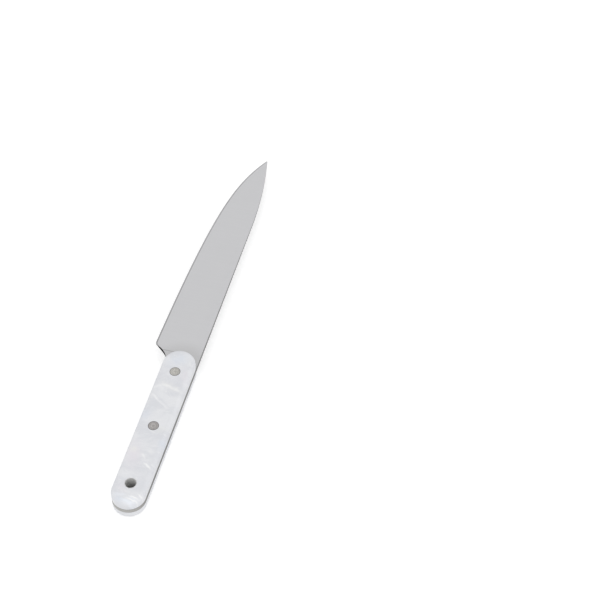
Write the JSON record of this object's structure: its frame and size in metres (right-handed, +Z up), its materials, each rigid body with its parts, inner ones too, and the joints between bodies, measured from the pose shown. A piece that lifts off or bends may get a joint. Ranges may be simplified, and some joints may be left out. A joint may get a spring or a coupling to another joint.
{
  "type": "fillet knife",
  "caption": "Kitchen knife with a pointed, taper-ground steel blade on a full tang, pearl acrylic handle scales, flush rivets and a steel-lined hanging hole at the butt.",
  "frame": {"origin": "middle of the knife's box on the table it lies on", "axes": "+X from the butt to the tip, +Y from the spine to the cutting edge, +Z up out of the upper scale"},
  "size_m": [0.2634, 0.0276, 0.0133],
  "materials": {
    "blade_steel": "satin ground stainless sheet with a fine grain across the blade",
    "pearl_acrylic": "polished pearl white acrylic with soft swirls",
    "epoxy": "dark set epoxy seam",
    "rivet_metal": "nickel alloy ground flush, fine cross scratches",
    "tube_steel": "drawn thin-wall stainless tube"
  },
  "bodies": {
    "root": {"blade_and_tang": "blade_steel", "upper_scale": "pearl_acrylic", "lower_scale": "pearl_acrylic", "upper_bond_line": "epoxy", "lower_bond_line": "epoxy", "front_rivet_post": "rivet_metal", "front_rivet_sleeve": "rivet_metal", "middle_rivet_post": "rivet_metal", "middle_rivet_sleeve": "rivet_metal", "hanging_tube": "tube_steel"}
  },
  "joints": []
}
